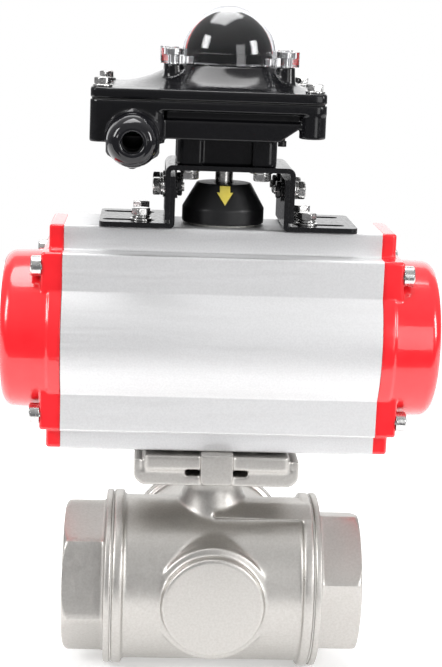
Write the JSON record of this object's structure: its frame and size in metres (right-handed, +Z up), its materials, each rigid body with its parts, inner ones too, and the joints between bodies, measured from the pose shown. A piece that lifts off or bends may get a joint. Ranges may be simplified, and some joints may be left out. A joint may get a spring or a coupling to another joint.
{
  "type": "pneumatic actuated ball valve",
  "caption": "Three-way threaded ball valve turned by a rack-and-pinion air actuator, with a bracket-mounted limit-switch box and position indicator.",
  "frame": {"origin": "on the stem axis at the plane that the valve's round rims stand on", "axes": "+Z up along the stem, +X along the pipe and actuator towards the right-hand port, +Y towards the third port"},
  "size_m": [0.2116, 0.1471, 0.3338],
  "materials": {
    "cast_steel": "shot-blasted cast stainless steel",
    "machined_steel": "turned stainless steel",
    "bolt_steel": "bright stainless fasteners",
    "spring_steel": "spring steel",
    "ptfe": "white fluoropolymer",
    "acetal": "natural acetal",
    "anodised": "satin hard-anodised extrusion",
    "cast_aluminium": "die-cast aluminium",
    "red_enamel": "glossy red stove enamel",
    "nickel_steel": "nickel-plated steel",
    "black_sheet": "black powder-coated sheet steel",
    "black_plastic": "black moulded plastic",
    "black_gloss": "glossy black plastic",
    "black_coat": "satin black paint on die-cast aluminium",
    "yellow_print": "pale yellow plastic",
    "red_plastic": "red plastic",
    "clear_dome": "clear polycarbonate",
    "rubber": "black nitrile rubber",
    "green_plastic": "terminal plastic"
  },
  "bodies": {
    "root": {"actuator_housing": "anodised", "ball_seats": "ptfe", "body_gaskets": "ptfe", "box_bolts": "bolt_steel", "bracket": "black_sheet", "cap_bolts": "bolt_steel", "cap_seals": "rubber", "dome_screws": "bolt_steel", "foot_bolts": "bolt_steel", "gland_body": "black_gloss", "gland_follower": "machined_steel", "gland_nut": "black_gloss", "gland_seal": "rubber", "ground_screw": "black_sheet", "indicator_dome": "clear_dome", "left_end_cap": "red_enamel", "left_foot": "black_sheet", "left_port_cap": "cast_steel", "leg_bolts": "bolt_steel", "leg_nuts": "black_sheet", "lid_gasket": "rubber", "lid_screws": "bolt_steel", "micro_switches": "black_plastic", "pad_bolts": "bolt_steel", "pinion_bearings": "acetal", "pinion_washer": "acetal", "rear_port_cap": "cast_steel", "right_end_cap": "red_enamel", "right_foot": "black_sheet", "right_port_cap": "cast_steel", "shaft_bush": "acetal", "stem_packing": "ptfe", "stem_thrust_washer": "ptfe", "stop_screws": "bolt_steel", "switch_base": "black_coat", "switch_lid": "black_coat", "terminal_block": "green_plastic", "valve_body": "cast_steel"},
    "drive_train": {"ball": "machined_steel", "stem": "machined_steel", "stem_nut": "bolt_steel", "disc_springs": "spring_steel", "pinion": "nickel_steel", "stop_cam": "nickel_steel", "pinion_circlip": "spring_steel", "indicator_puck": "black_plastic", "puck_arrow": "yellow_print", "switch_shaft": "machined_steel", "switch_cams": "red_plastic", "indicator_rotor": "black_gloss", "indicator_vanes": "red_plastic"},
    "right_piston": {"right_piston": "cast_aluminium", "right_piston_seal": "rubber", "right_rack_pad": "acetal"},
    "left_piston": {"left_piston": "cast_aluminium", "left_piston_seal": "rubber", "left_rack_pad": "acetal"}
  },
  "joints": [
    {"name": "stem_turn", "type": "hinge", "parent": "root", "child": "drive_train", "pos_m": [0, 0, 0.172], "axis": [0, 0, 1], "range_deg": [0, 90]},
    {"name": "right_piston_slide", "type": "slide", "parent": "root", "child": "right_piston", "axis": [1, 0, 0], "range_m": [0, 0.0252]},
    {"name": "left_piston_slide", "type": "slide", "parent": "root", "child": "left_piston", "axis": [-1, 0, 0], "range_m": [0, 0.0252]}
  ],
  "couplings": [
    {"joint": "right_piston_slide", "follows": "stem_turn", "m_per_rad": 0.016},
    {"joint": "left_piston_slide", "follows": "stem_turn", "m_per_rad": 0.016}
  ]
}
